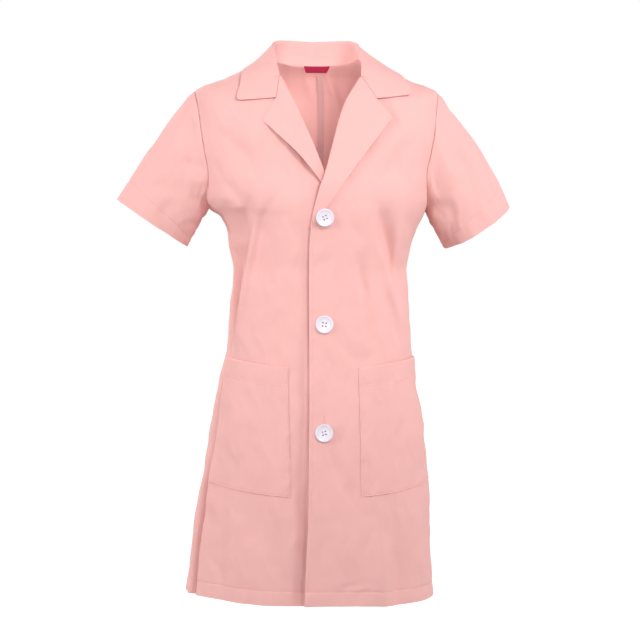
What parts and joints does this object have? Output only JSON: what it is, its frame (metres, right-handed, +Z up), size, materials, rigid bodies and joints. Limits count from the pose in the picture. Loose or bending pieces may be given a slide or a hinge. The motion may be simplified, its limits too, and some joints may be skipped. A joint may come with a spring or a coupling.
{
  "type": "short-sleeve lab coat",
  "caption": "Knee-length short-sleeve lab coat in plain pink cloth with a notched collar and lapels, a buttoned overlapping front and large patch pockets, held open as if worn",
  "frame": {"origin": "the middle of the neck base, level with the neck ends of the shoulder seams, where a wearer's shoulders carry the coat", "axes": "+Z up, the front faces -Y, +X is the wearer's left"},
  "size_m": [0.6296, 0.2966, 0.8936],
  "materials": {
    "cloth": "plain pink cotton poplin, matt with a soft sheen",
    "button": "white resin, softly glossy",
    "label": "plain crimson woven tape"
  },
  "bodies": {
    "root": {"front_left": "cloth", "front_right": "cloth", "back_left": "cloth", "back_right": "cloth", "sleeve_left": "cloth", "sleeve_right": "cloth", "collar_stand": "cloth", "collar_leaf": "cloth", "lapel_left": "cloth", "lapel_right": "cloth", "pocket_left": "cloth", "pocket_right": "cloth", "button_top": "button", "button_middle": "button", "button_low": "button", "neck_label": "label"}
  },
  "joints": []
}
